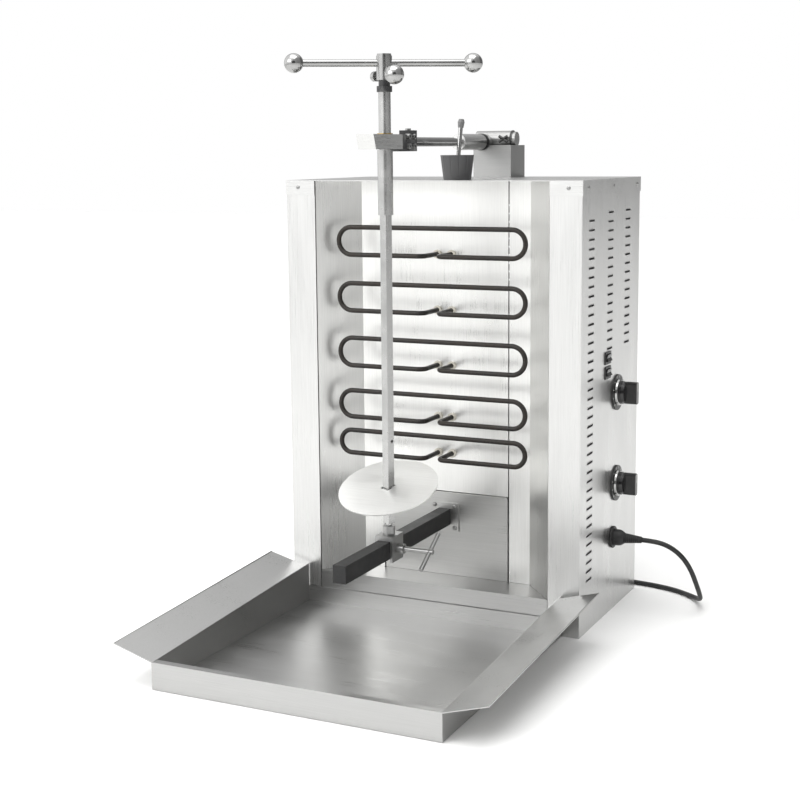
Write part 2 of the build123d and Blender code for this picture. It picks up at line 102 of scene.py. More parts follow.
# ---- the mains lead -----------------------------------------------------------------------------
LEAD_D = 8.4 * MM
LEAD_ROUTE = (
    (0.322, 0.260, 0.130), (0.348, 0.260, 0.130), (0.3726, 0.2626, 0.122), (0.3925, 0.2683, 0.1046),
    (0.4048, 0.2766, 0.0809), (0.4112, 0.2876, 0.0548), (0.4131, 0.3054, 0.0319), (0.4087, 0.3302, 0.0156),
    (0.3956, 0.3570, 0.0071), (0.3738, 0.3803, 0.0045), (0.3441, 0.3988, 0.0045), (0.3080, 0.4105, 0.0045),
    (0.2665, 0.4171, 0.0045), (0.2216, 0.4195, 0.0045), (0.1780, 0.4224, 0.0045), (0.1430, 0.4216, 0.0045),
)
COIL_STEPS = 16          # control points in one turn of the stored coil
COIL_TURNS = 4
COIL_LIFT = 0.3 * MM     # how far the coil lies above the table
TIE_RADIUS = 0.7 * MM    # half the thickness of a flat tie
TIE_BOTTOM = 0.9 * MM
TIES = (                 # direction from the coil's middle in degrees, top at the coil's inside and outside
    (20, 17.9 * MM, 26.2 * MM), (160, 17.9 * MM, 17.9 * MM),
)

# ---- studio -------------------------------------------------------------------------------------
FLOOR_HALF = 14.0
FLAG_TOWARDS = (0.436, -0.894, 0.10)         # the dark flag hangs just below the camera
CAMERA_PLACE = (1.01635, -2.12123, 0.80072)
CAMERA_YAW, CAMERA_PITCH, CAMERA_ROLL = 25.885, 8.212, -0.527   # degrees


# ---- properties ---------------------------------------------------------------------------------
class GrillColours(bpy.types.PropertyGroup):
    """Colours that a user would change, as sRGB hex values."""
    steel: bpy.props.StringProperty(name="Steel", description="Brushed stainless sheet", default="#CDCDCC")
    mirror: bpy.props.StringProperty(name="Reflector", description="Bright-annealed sheet", default="#E2E2E0")
    sheath: bpy.props.StringProperty(name="Heating tube", description="Oxidised sheath", default="#1D1C1B")
    plastic: bpy.props.StringProperty(name="Black plastic", description="Knobs, switches", default="#141415")
    floor: bpy.props.StringProperty(name="Floor", description="Studio floor", default="#FAFAF9")


class GrillSizes(bpy.types.PropertyGroup):
    """Sizes that a user would change."""
    grain: bpy.props.FloatProperty(name="Grain spacing", description="Distance between brush lines",
                                   default=0.9 * MM, unit="LENGTH")
    light: bpy.props.FloatProperty(name="Key light", description="Power of the key softbox", default=38.0,
                                   subtype="POWER")


# ---- materials ----------------------------------------------------------------------------------
def linear(text):
    """An sRGB hex colour as linear RGBA."""
    channels = [int(text[i:i + 2], 16) / 255 for i in (1, 3, 5)]
    return tuple(c / 12.92 if c <= 0.04045 else ((c + 0.055) / 1.055) ** 2.4 for c in channels) + (1.0,)


def add(tree, kind, inputs=None, **settings):
    """Add a node. settings are its own properties; inputs are values or sockets, by name or number."""
    made = tree.nodes.new(kind)
    for key, value in settings.items():
        setattr(made, key, value)
    for key, value in (inputs or {}).items():
        if isinstance(value, bpy.types.NodeSocket):
            tree.links.new(value, made.inputs[key])
        else:
            made.inputs[key].default_value = value
    return made


def new_material(name):
    """A material with an empty tree, its shader and its object coordinates."""
    material = bpy.data.materials.new(name)
    material.use_nodes = True
    tree = material.node_tree
    tree.nodes.clear()
    shader = add(tree, "ShaderNodeBsdfPrincipled")
    add(tree, "ShaderNodeOutputMaterial", {"Surface": shader.outputs["BSDF"]})
    place = add(tree, "ShaderNodeTexCoord").outputs["Object"]
    return material, tree, shader, place


def noise(tree, place, size, detail=2.0, stretch=(1, 1, 1), rough=0.5):
    """Noise whose features measure size metres, longer along an axis by its stretch."""
    scale = tuple(1 / (size * s) for s in stretch)
    mapped = add(tree, "ShaderNodeMapping", {"Vector": place, "Scale": scale})
    return add(tree, "ShaderNodeTexNoise", {"Vector": mapped.outputs["Vector"], "Scale": 1.0,
                                            "Detail": detail, "Roughness": rough}).outputs["Fac"]


def ranged(tree, value, low, high, source=(0.3, 0.7)):
    """A value taken from its source range to low and high, and held there at both ends."""
    return add(tree, "ShaderNodeMapRange", {"Value": value, "From Min": source[0], "From Max": source[1],
                                            "To Min": low, "To Max": high}).outputs["Result"]


def mixed(tree, factor, one, two):
    """A colour between two colours."""
    made = add(tree, "ShaderNodeMix", {"Factor": factor}, data_type="RGBA")
    for socket, value in ((made.inputs[6], one), (made.inputs[7], two)):
        if isinstance(value, bpy.types.NodeSocket):
            tree.links.new(value, socket)
        else:
            socket.default_value = value
    return made.outputs[2]


def shade(colour, factor):
    """A colour made lighter or darker."""
    return tuple(c * factor for c in colour[:3]) + (1.0,)


def surface(tree, shader, tone, roughness, height, strength, depth):
    """Link a shader's colour and roughness, and a bump of the given depth that follows height."""
    bump = add(tree, "ShaderNodeBump", {"Strength": strength, "Distance": depth, "Height": height})
    tree.links.new(tone, shader.inputs["Base Color"])
    tree.links.new(roughness, shader.inputs["Roughness"])
    tree.links.new(bump.outputs["Normal"], shader.inputs["Normal"])


def brushed_steel(name, colour, along, rough=(0.24, 0.36), grain=0.9 * MM, depth=0.02 * MM):
    """AISI 304 sheet, belt-brushed: long fine lines stretch its reflections, and handling leaves clouds."""
    material, tree, shader, place = new_material(name)
    lines = noise(tree, place, grain, 3.0, stretch=tuple(90 if a == along else 1 for a in "XYZ"), rough=0.62)
    clouds = noise(tree, place, 160 * MM, 3.0)
    smears = noise(tree, place, 42 * MM, 2.0, stretch=tuple(4 if a == along else 1 for a in "XYZ"))
    tone = mixed(tree, ranged(tree, lines, 0.0, 1.0), shade(colour, 0.90), shade(colour, 1.04))
    tone = mixed(tree, ranged(tree, clouds, 0.0, 0.35), tone, shade(colour, 0.93))
    uneven = {0: ranged(tree, lines, rough[0], rough[1]), 1: ranged(tree, smears, -0.02, 0.06)}
    roughness = add(tree, "ShaderNodeMath", uneven, operation="ADD").outputs[0]
    surface(tree, shader, tone, roughness, lines, 0.35, depth)
    shader.inputs["Metallic"].default_value = 1.0
    return material


def ground_bar(name, colour, rough=(0.14, 0.26)):
    """Stainless bar, centreless-ground: fine rings round the bar and a bright narrow highlight."""
    material, tree, shader, place = new_material(name)
    rings = noise(tree, place, 3.5 * MM, 1.0, stretch=(9, 9, 1))
    wear = noise(tree, place, 30 * MM, 3.0)
    tone = mixed(tree, ranged(tree, wear, 0.0, 1.0), shade(colour, 0.86), shade(colour, 1.05))
    surface(tree, shader, tone, ranged(tree, wear, rough[0], rough[1]), rings, 0.05, 0.002 * MM)
    shader.inputs["Metallic"].default_value = 1.0
    return material


def oxidised_sheath(name, colour):
    """Nickel-alloy sheath of a tubular heater, fired in use: matt, near black, with brown and grey scale."""
    material, tree, shader, place = new_material(name)
    patches = noise(tree, place, 26 * MM, 4.0)
    scale = noise(tree, place, 1.6 * MM, 3.0)
    tone = mixed(tree, ranged(tree, patches, 0.0, 1.0), colour, linear("#2C2723"))
    tone = mixed(tree, ranged(tree, scale, 0.0, 0.45, (0.45, 0.75)), tone, linear("#4C4844"))
    surface(tree, shader, tone, ranged(tree, patches, 0.34, 0.58), scale, 0.5, 0.08 * MM)
    shader.inputs["Metallic"].default_value = 0.55
    return material


def coated(name, colour, rough, grit, depth, ior=1.5, patch=0.25, lighter="#5A5A58"):
    """Plastic, rubber, enamel or glaze: one colour with a fine surface grit and slight handling marks."""
    material, tree, shader, place = new_material(name)
    grain = noise(tree, place, grit, 2.0)
    marks = noise(tree, place, 24 * MM, 4.0)
    tone = mixed(tree, ranged(tree, marks, 0.0, patch, (0.45, 0.75)), colour, linear(lighter))
    surface(tree, shader, tone, ranged(tree, marks, rough[0], rough[1]), grain, 0.4, depth)
    shader.inputs["IOR"].default_value = ior
    return material


def make_materials(colours):
    """Every finish of the grill, by a maker's name."""
    steel, bright = linear(colours.steel), linear(colours.mirror)
    black = linear(colours.plastic)
    grain = bpy.context.scene.grill_sizes.grain
    return {
        "sheet_upright": brushed_steel("brushed_304_sheet_upright", steel, "Z", grain=grain),
        "sheet_across": brushed_steel("brushed_304_sheet_across", steel, "X", grain=grain),
        "sheet_arm": brushed_steel("brushed_304_arm", steel, "Y"),
        # painted shade: the tray sheet is the cabinet steel darkened to 0.76, standing in for shade and dark
        # reflections on the drip tray, its hems and the recess floor
        "shaded_tray_sheet": brushed_steel("brushed_304_tray_painted_shade", shade(steel, 0.76), "X", (0.26, 0.38), grain),
        "reflector": brushed_steel("bright_annealed_430_reflector", bright, "Z", (0.26, 0.34), grain,
                                   0.006 * MM),
        # painted shade: the reflector sheet darkened to 0.60 for the lower back plate and the rail flange
        "lower": brushed_steel("bright_annealed_430_lower_painted_shade", shade(bright, 0.60), "X", (0.28, 0.38),
                               grain, 0.008 * MM),
        "housing": brushed_steel("fine_brushed_housing", shade(steel, 0.50), "X", (0.30, 0.42), grain),
        "bracket": brushed_steel("satin_bracket_steel", shade(steel, 0.58), "Y", (0.28, 0.40), grain),
        # painted shade: the bars, the spit and the balls are the steel darkened to 0.60, 0.74 and 0.66,
        # standing in for the darker reflections they show
        "bar": ground_bar("ground_stainless_bar_painted_shade", shade(steel, 0.60)),
        "spit": ground_bar("cold_drawn_spit_bar_painted_shade", shade(steel, 0.74), (0.20, 0.32)),
        "ball": ground_bar("polished_stainless_ball_painted_shade", shade(steel, 0.66), (0.07, 0.14)),
        "disc": brushed_steel("pressed_stainless_disc", bright, "X", (0.30, 0.44), grain),
        "brass": ground_bar("turned_brass", linear("#B69A5C"), (0.18, 0.30)),
        "sheath": oxidised_sheath("oxidised_heater_sheath", linear(colours.sheath)),
        "ceramic": coated("glazed_steatite", linear("#DAD6CA"), (0.12, 0.22), 3 * MM, 0.02 * MM, 1.55, 0.5,
                          "#B9B2A2"),
        "enamel": coated("black_stove_enamel", linear("#0F0F10"), (0.48, 0.62), 1.2 * MM, 0.03 * MM, 1.52),
        "casting": coated("blackened_casting", linear("#2B2B2C"), (0.42, 0.60), 0.9 * MM, 0.12 * MM, 1.5, 0.8,
                          "#8C8C8A"),
        "knob": coated("moulded_phenolic_knob", black, (0.16, 0.26), 0.6 * MM, 0.01 * MM, 1.55, 0.1),
        "abs": coated("moulded_polyamide", linear("#1A1A1B"), (0.36, 0.46), 0.5 * MM, 0.03 * MM, 1.53, 0.1),
        "rubber": coated("extruded_rubber_lead", linear("#131314"), (0.44, 0.58), 0.7 * MM, 0.03 * MM, 1.52,
                         0.2),
        "boot": coated("moulded_rubber_boot", linear("#474748"), (0.38, 0.52), 0.8 * MM, 0.04 * MM, 1.52),
        "grip": coated("moulded_grey_grip", linear("#6E6E6E"), (0.34, 0.44), 0.6 * MM, 0.02 * MM, 1.53, 0.2),
        "cream": coated("moulded_thermoset_cream", linear("#CFC8B6"), (0.30, 0.42), 0.8 * MM, 0.03 * MM,
                        1.55),
        "print": coated("white_pad_print", linear("#E9E9E6"), (0.40, 0.50), 0.6 * MM, 0.005 * MM, 1.5, 0.05),
    }


FINISHES = {
    "sheet_upright": ("side_panel_right", "side_panel_left", "rear_panel", "front_strip_left",
                      "front_strip_right"),
    "sheet_across": ("lid", "base_pan"),
    "reflector": ("side_wing_left", "side_wing_right", "back_reflector"),
    # painted shade: the lower back plate and the rail flange take the darkened reflector sheet
    "lower": ("lower_back_plate", "rail_flange"),
    # painted shade: the drip tray and the recess floor take the darkened tray sheet
    "shaded_tray_sheet": ("drip_tray", "recess_floor"),
    "sheath": tuple(f"heating_element_{i}" for i in range(1, 6)),
    "ceramic": ("element_bushes",),
    "enamel": ("guide_rail", "rail_end_cap", "arm_ring"),
    "bracket": ("slider_saddle", "clamp_screw", "cabinet_screws", "arm_clamp_screws"),
    # painted shade: the spit, the bars and the handle balls take the darkened steel copies
    "spit": ("spit_shaft", "spit_sleeve"),
    "bar": ("plate_pin", "arm_rod", "lever_rod", "lever_pin", "handle_hub", "handle_bar", "hub_screw"),
    "ball": ("handle_balls",),
    "disc": ("meat_plate",),
    "sheet_arm": ("arm_plate", "arm_socket"),
    "brass": ("arm_bush",),
    "casting": ("arm_clamp", "handle_collar"),
    "housing": ("arm_housing", "arm_cross_tube"),
    "boot": ("lever_boot",),
    "grip": ("lever_grip",),
    "abs": ("dial_plates", "switch_housings", "cable_gland", "plug"),
    "knob": ("knob_upper", "knob_lower", "rocker_upper", "rocker_lower"),
    "cream": ("regulators", "terminal_block"),
    "rubber": ("strain_relief", "cord", "cord_coil"),
}
MADE = {}


def link(name, data):
    """Put new data in the scene as an object at the origin."""
    piece = bpy.data.objects.new(name, data)
    bpy.context.scene.collection.objects.link(piece)
    return piece


# ---- shapes -------------------------------------------------------------------------------------
def lathe(name, profile, start, finish, steps=48):
    """Turn a profile, as (distance along +X, radius) pairs in millimetres, about a line through start."""
    made = bmesh.new()
    rings = []
    for along, radius in ((a * MM, r * MM) for a, r in profile):
        if radius == 0:
            rings.append([made.verts.new((start[0] + along, start[1], start[2]))])
            continue
        angles = [2 * math.pi * i / steps for i in range(steps)]
        rings.append([made.verts.new((start[0] + along, start[1] + radius * math.cos(a),
                                      start[2] + radius * math.sin(a))) for a in angles])
    for one, two in zip(rings, rings[1:]):
        for i in range(steps):
            j = (i + 1) % steps
            corners = [one[i % len(one)], two[i % len(two)], two[j % len(two)], one[j % len(one)]]
            made.faces.new(list(dict.fromkeys(corners)))
    bmesh.ops.recalc_face_normals(made, faces=made.faces)
    data = bpy.data.meshes.new(name)
    made.to_mesh(data)
    made.free()
    data.materials.append(MADE[finish])
    data.shade_smooth()
    data.set_sharp_from_angle(angle=math.radians(35))
    return link(name, data)


def new_tree(name, inputs):
    """A Geometry Nodes tree with named inputs. Returns it with its input sockets."""
    tree = bpy.data.node_groups.new(name, "GeometryNodeTree")
    tree.interface.new_socket("Geometry", in_out="INPUT", socket_type="NodeSocketGeometry")
    for label, kind in inputs:
        tree.interface.new_socket(label, in_out="INPUT", socket_type="NodeSocket" + kind)
    tree.interface.new_socket("Geometry", in_out="OUTPUT", socket_type="NodeSocketGeometry")
    return tree, tree.nodes.new("NodeGroupInput").outputs


def finish_tree(tree, instances):
    """End a tree with Realize Instances and Set Material."""
    real = add(tree, "GeometryNodeRealizeInstances", {"Geometry": instances}).outputs[0]
    given = tree.nodes.new("NodeGroupInput").outputs["Material"]
    finished = add(tree, "GeometryNodeSetMaterial", {"Geometry": real, "Material": given}).outputs[0]
    add(tree, "NodeGroupOutput", {"Geometry": finished})
    return tree


def grown(name, tree, holder_mesh, values, smooth=30):
    """Run a tree over a holder mesh and keep the outcome as one plain piece at the origin."""
    holder = link(name + "_holder", holder_mesh)
    modifier = holder.modifiers.new("growth", "NODES")
    modifier.node_group = tree
    for item in tree.interface.items_tree:
        if item.item_type == "SOCKET" and item.in_out == "INPUT" and item.name in values:
            modifier[item.identifier] = values[item.name]
    holder.update_tag()
    graph = bpy.context.evaluated_depsgraph_get()
    data = bpy.data.meshes.new_from_object(holder.evaluated_get(graph), depsgraph=graph)
    data.name = name
    bpy.data.objects.remove(holder)
    data.set_sharp_from_angle(angle=math.radians(smooth))
    return link(name, data)


def points_mesh(name, places, facings=None):
    """A holder mesh of loose points, each with the direction that it faces."""
    data = bpy.data.meshes.new(name)
    data.from_pydata([tuple(p) for p in places], [], [])
    if facings:
        attribute = data.attributes.new("facing", "FLOAT_VECTOR", "POINT")
        attribute.data.foreach_set("vector", [c for f in facings for c in f])
    return data


def rim_tree():
    """A round wire bent to a long slot's outline, on every point of the holder."""
    tree, given = new_tree("slot_rims", (("Length", "Float"), ("Height", "Float"), ("Wire", "Float"),
                                         ("Turn", "Vector"), ("Material", "Material")))
    outline = add(tree, "GeometryNodeCurvePrimitiveQuadrilateral", {"Width": given["Length"],
                                                                    "Height": given["Height"]}).outputs[0]
    radius = add(tree, "ShaderNodeMath", {0: given["Height"], 1: 0.495}, operation="MULTIPLY").outputs[0]
    rounded = add(tree, "GeometryNodeFilletCurve", {"Curve": outline, "Count": 4, "Radius": radius},
                  mode="POLY").outputs[0]
    wire = add(tree, "GeometryNodeCurvePrimitiveCircle", {"Resolution": 8,
                                                          "Radius": given["Wire"]}).outputs[0]
    rim = add(tree, "GeometryNodeCurveToMesh", {"Curve": rounded, "Profile Curve": wire}).outputs[0]
    smooth = add(tree, "GeometryNodeSetShadeSmooth", {"Geometry": rim}).outputs[0]
    turn = add(tree, "FunctionNodeEulerToRotation", {"Euler": given["Turn"]}).outputs[0]
    placed = add(tree, "GeometryNodeInstanceOnPoints", {"Points": given["Geometry"], "Instance": smooth,
                                                        "Rotation": turn}).outputs[0]
    return finish_tree(tree, placed)


def screw_tree():
    """A domed screw head with a cross recess, or a cheese head with a hexagon recess, on every point."""
    tree, given = new_tree("screw_heads", (("Radius", "Float"), ("Height", "Float"), ("Hexagon", "Bool"),
                                           ("Material", "Material")))
    size = add(tree, "ShaderNodeCombineXYZ", {"X": given["Radius"], "Y": given["Radius"],
                                              "Z": given["Height"]}).outputs[0]

    def moved(mesh, **change):
        return add(tree, "GeometryNodeTransform", {"Geometry": mesh, **change}).outputs[0]

    def cut(mesh, tool):
        made = add(tree, "GeometryNodeMeshBoolean", {"Mesh 1": mesh}, operation="DIFFERENCE", solver="EXACT")
        tree.links.new(tool, made.inputs["Mesh 2"])
        return made.outputs[0]

    ball = add(tree, "GeometryNodeMeshUVSphere", {"Segments": 32, "Rings": 16, "Radius": 1.0}).outputs[0]
    cross = add(tree, "GeometryNodeMeshBoolean", {}, operation="UNION", solver="EXACT")
    for x, y in ((1.1, 0.24), (0.24, 1.1)):
        slot = add(tree, "GeometryNodeMeshCube", {"Size": (x, y, 0.9)}).outputs[0]
        tree.links.new(moved(slot, Translation=(0, 0, 1.05)), cross.inputs["Mesh 2"])
    domed = cut(moved(ball, Scale=size), moved(cross.outputs[0], Scale=size))
    drum = add(tree, "GeometryNodeMeshCylinder", {"Vertices": 40, "Radius": 1.0, "Depth": 2.0}).outputs[0]
    socket = add(tree, "GeometryNodeMeshCylinder", {"Vertices": 6, "Radius": 0.56, "Depth": 1.2}).outputs[0]
    cheese = moved(cut(drum, moved(socket, Translation=(0, 0, 1.0))), Scale=size)
    head = add(tree, "GeometryNodeSwitch", {"Switch": given["Hexagon"], "False": domed, "True": cheese},
               input_type="GEOMETRY").outputs[0]
    facing = add(tree, "GeometryNodeInputNamedAttribute", {"Name": "facing"},
                 data_type="FLOAT_VECTOR").outputs[0]
    turn = add(tree, "FunctionNodeAlignRotationToVector", {"Vector": facing}, axis="Z").outputs[0]
    placed = add(tree, "GeometryNodeInstanceOnPoints", {"Points": given["Geometry"], "Instance": head,
                                                        "Rotation": turn}).outputs[0]
    return finish_tree(tree, placed)


def tick_tree():
    """Short printed bars round part of a dial, on every point of the holder."""
    tree, given = new_tree("dial_ticks", (("Count", "Int"), ("Radius", "Float"), ("Length", "Float"),
                                          ("Material", "Material")))
    arc = add(tree, "GeometryNodeCurveArc", {"Resolution": given["Count"], "Radius": given["Radius"],
                                             "Start Angle": math.radians(-45),
                                             "Sweep Angle": math.radians(270)}).outputs[0]
    dots = add(tree, "GeometryNodeCurveToPoints", {"Curve": arc}, mode="EVALUATED")
    size = add(tree, "ShaderNodeCombineXYZ", {"X": given["Length"], "Y": TICK_INK,
                                              "Z": TICK_WIDTH}).outputs[0]
    bar = add(tree, "GeometryNodeMeshCube", {"Size": size}).outputs[0]
    ring = add(tree, "GeometryNodeInstanceOnPoints", {"Points": dots.outputs["Points"], "Instance": bar,
                                                      "Rotation": dots.outputs["Rotation"]}).outputs[0]
    upright = add(tree, "GeometryNodeTransform", {"Geometry": ring,
                                                  "Rotation": (math.pi / 2, 0, math.pi / 2)}).outputs[0]
    placed = add(tree, "GeometryNodeInstanceOnPoints", {"Points": given["Geometry"],
                                                        "Instance": upright}).outputs[0]
    return finish_tree(tree, placed)


def ribbed_profile(start, end, ribs=9, wide=9.0, narrow=5.6, core=5.0, tip=4.6):
    """The outline of a tapering row of ribs, from start to end, in millimetres."""
    step = (end - start) / ribs
    profile = [(start, 0.0)]
    for rib in range(ribs):
        here = start + step * rib
        outer = wide - (wide - narrow) * rib / ribs
        inner = max(outer - 1.6, core)
        profile += [(here, outer), (here + 0.6 * step, outer - 0.2), (here + 0.64 * step, inner),
                    (here + 0.98 * step, inner)]
    return profile + [(end, tip), (end, 0.0)]


def islands(node):
    """The separate shells of a CAD piece: each one's low and high corner."""
    made = bmesh.new()
    made.from_mesh(NODES[node].data)
    made.transform(NODES[node].matrix_world)
    bmesh.ops.remove_doubles(made, verts=made.verts, dist=0.005 * MM)
    seen, shells = set(), []
    for first in made.verts:
        if first in seen:
            continue
        stack, shell = [first], []
        seen.add(first)
        while stack:
            vertex = stack.pop()
            shell.append(vertex.co.copy())
            for edge in vertex.link_edges:
                other = edge.other_vert(vertex)
                if other not in seen:
                    seen.add(other)
                    stack.append(other)
        shells.append(tuple(Vector(f(p[i] for p in shell) for i in range(3)) for f in (min, max)))
    made.free()
    return shells


def curve_piece(name, paths, radius, finish, closed=False, order=2, roundness=3, steps=12):
    """Round bars, beads or a lead along paths, as one piece. Order 2 runs straight from point to point."""
    data = bpy.data.curves.new(name, "CURVE")
    data.dimensions = "3D"
    data.bevel_depth = radius
    data.bevel_resolution = roundness
    data.resolution_u = steps
    data.use_fill_caps = True
    for path in paths:
        spline = data.splines.new("NURBS")
        spline.points.add(len(path) - 1)
        for point, place in zip(spline.points, path):
            point.co = (*place, 1.0)
        spline.order_u = order
        spline.use_cyclic_u = closed
        spline.use_endpoint_u = not closed
    data.materials.append(MADE[finish])
    return link(name, data)


def coil_points(centre, outer):
    """Coil turns: outer and inner on the table, inner and outer on top, then half a turn in a third layer."""
    inner = outer - LEAD_D
    bottom = LEAD_D / 2 + COIL_LIFT
    radius_stops = ((0, outer), (300, outer), (350, inner), (900, inner), (955, outer), (1440, outer))
    height_stops = ((0, 0), (600, 0), (655, 1), (1200, 1), (1255, 2), (1440, 2))

    def between(stops, turned):
        for (a, low), (b, high) in zip(stops, stops[1:]):
            if turned <= b:
                return low + (high - low) * (turned - a) / (b - a)
        return stops[-1][1]

    points = []
    for step in range(COIL_TURNS * COIL_STEPS + 1):
        turned = step * 360 / COIL_STEPS
        angle = math.radians(-90 - turned)
        radius = between(radius_stops, turned) / math.cos(math.pi / COIL_STEPS)
        points.append(Vector((centre.x + radius * math.cos(angle), centre.y + radius * math.sin(angle),
                              bottom + LEAD_D * between(height_stops, turned))))
    return points


# ---- studio functions ---------------------------------------------------------------------------
def ramped(tree, value, stops):
    """A grey that follows stops of position and brightness."""
    top = max(bright for _, bright in stops)
    ramp = add(tree, "ShaderNodeValToRGB", {"Fac": value})
    elements = ramp.color_ramp.elements
    elements[0].position, elements[1].position = stops[0][0], stops[-1][0]
    for position, _ in stops[1:-1]:
        elements.new(position)
    for element, (_, bright) in zip(elements, stops):
        element.color = (bright / top, bright / top, bright / top, 1)
    return add(tree, "ShaderNodeMath", {0: ramp.outputs["Color"], 1: top}, operation="MULTIPLY").outputs[0]


def studio_world():
    """White to the camera. In reflections it darkens to the right, low at the rear and in a narrow flag."""
    world = bpy.data.worlds.new("studio")
    world.use_nodes = True
    tree = world.node_tree
    tree.nodes.clear()
    outward = add(tree, "ShaderNodeTexCoord").outputs["Generated"]
    direction = add(tree, "ShaderNodeSeparateXYZ", {"Vector": outward})
    side = ramped(tree, ranged(tree, direction.outputs["X"], 0, 1, (-1.0, 1.0)),
                  ((0.0, 1.62), (0.5, 1.52), (0.75, 0.75), (1.0, 0.42)))
    depth = ramped(tree, ranged(tree, direction.outputs["Y"], 0, 1, (-1.0, 1.0)),
                   ((0.0, 1.0), (0.6, 1.0), (0.85, 0.30)))
    height = ramped(tree, ranged(tree, direction.outputs["Z"], 0, 1, (-1.0, 1.0)), ((0.74, 0.0), (0.86, 1.0)))
    wall = add(tree, "ShaderNodeMath", {0: depth, 1: height}, operation="MAXIMUM").outputs[0]
    towards = add(tree, "ShaderNodeVectorMath", {0: outward, 1: FLAG_TOWARDS}, operation="DOT_PRODUCT")
    flag = ranged(tree, towards.outputs["Value"], 1.0, 0.16, (0.90, 0.955))
    tone = add(tree, "ShaderNodeMath", {0: side, 1: wall}, operation="MULTIPLY").outputs[0]
    tone = add(tree, "ShaderNodeMath", {0: tone, 1: flag}, operation="MULTIPLY").outputs[0]
    seen = add(tree, "ShaderNodeLightPath").outputs["Is Camera Ray"]
    colour = mixed(tree, seen, add(tree, "ShaderNodeCombineXYZ", {0: tone, 1: tone, 2: tone}).outputs[0],
                   (1.0, 1.0, 1.0, 1.0))
    background = add(tree, "ShaderNodeBackground", {"Color": colour, "Strength": 1.0})
    add(tree, "ShaderNodeOutputWorld", {"Surface": background.outputs["Background"]})
    return world


def soft_light(name, place, target, size, power):
    """A rectangular softbox that faces its target."""
    data = bpy.data.lights.new(name, "AREA")
    data.shape = "RECTANGLE"
    data.size, data.size_y = size
    data.energy = power
    lamp = link(name, data)
    lamp.location = place
    lamp.rotation_euler = (Vector(target) - Vector(place)).to_track_quat("-Z", "Y").to_euler()


def studio_camera():
    """A 66 mm lens 0.8 m above the table, turned to show the front and the right side."""
    yaw, pitch, roll = (math.radians(d) for d in (CAMERA_YAW, CAMERA_PITCH, CAMERA_ROLL))
    ahead = Vector((-math.sin(yaw), math.cos(yaw), 0))
    right = Vector((math.cos(yaw), math.sin(yaw), 0))
    up = Vector((0, 0, 1))
    view = ahead * math.cos(pitch) - up * math.sin(pitch)
    above = up * math.cos(pitch) + ahead * math.sin(pitch)
    x_axis = right * math.cos(roll) + above * math.sin(roll)
    y_axis = above * math.cos(roll) - right * math.sin(roll)
    data = bpy.data.cameras.new("studio_camera")
    data.sensor_width = 36.0
    data.lens = 65.59
    data.shift_y = -0.05
    camera = link("studio_camera", data)
    matrix = Matrix((x_axis, y_axis, -view)).transposed().to_4x4()
    matrix.translation = Vector(CAMERA_PLACE)
    camera.matrix_world = matrix
    return camera


# ---- operators ----------------------------------------------------------------------------------
class GRILL_OT_finishes(bpy.types.Operator):
    """Give every CAD piece its finish"""
    bl_idname = "grill.finishes"
    bl_label = "Finishes"

    def execute(self, context):
        MADE.update(make_materials(context.scene.grill_colours))
        for finish, nodes in FINISHES.items():
            for node in nodes:
                for slot in NODES[node].material_slots:
                    slot.material = MADE[finish]
        return {"FINISHED"}


class GRILL_OT_lead(bpy.types.Operator):
    """Lay the mains lead from its strain relief to the stored coil and the plug"""
    bl_idname = "grill.lead"
    bl_label = "Mains lead"

    def execute(self, context):
        centre = (COIL_LOW + COIL_HIGH) / 2
        outer = (COIL_HIGH.x - COIL_LOW.x) / 2 - LEAD_D / 2 - 0.4 * MM
        points = [Vector(p) for p in LEAD_ROUTE] + coil_points(centre, outer)
        start_y = centre.y - outer
        plug_x, plug_z = PLUG_HIGH.x, (PLUG_LOW.z + PLUG_HIGH.z) / 2
        points += [Vector((plug_x + 30 * MM, start_y, plug_z + 1.6 * MM)),
                   Vector((plug_x + 14 * MM, start_y, plug_z + 0.3 * MM)), Vector((plug_x, start_y, plug_z))]
        piece = curve_piece("mains_lead", [points], LEAD_D / 2, "rubber", order=3, roundness=5, steps=8)
        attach(piece, "cabinet")
        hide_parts("cord", "cord_coil")
        return {"FINISHED"}


class GRILL_OT_slot_rims(bpy.types.Operator):
    """Roll a rim round every cooling slot of the side and rear panels"""
    bl_idname = "grill.slot_rims"
    bl_label = "Slot rims"

    def execute(self, context):
        tree = rim_tree()
        side = [(PANEL_HIGH.x, PANEL_LOW.y + column, low + row * SLOT_PITCH)
                for column, low, high in SIDE_COLUMNS for row in range(int((high - low) / SLOT_PITCH) + 1)]
        rear = [(x, REAR_FACE, REAR_LOWEST + row * SLOT_PITCH)
                for x in REAR_COLUMNS for row in range(REAR_ROWS)]
        quarter = math.pi / 2
        for name, places, length, turn in (("side_slot_rims", side, SIDE_SLOT, (quarter, 0, quarter)),
                                           ("rear_slot_rims", rear, REAR_SLOT, (quarter, 0, 0))):
            piece = grown(name, tree, points_mesh(name, places),
                          {"Length": length, "Height": SLOT_HEIGHT, "Wire": SLOT_RIM, "Turn": turn,
                           "Material": MADE["sheet_upright"]}, 60)
            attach(piece, "cabinet")
        return {"FINISHED"}


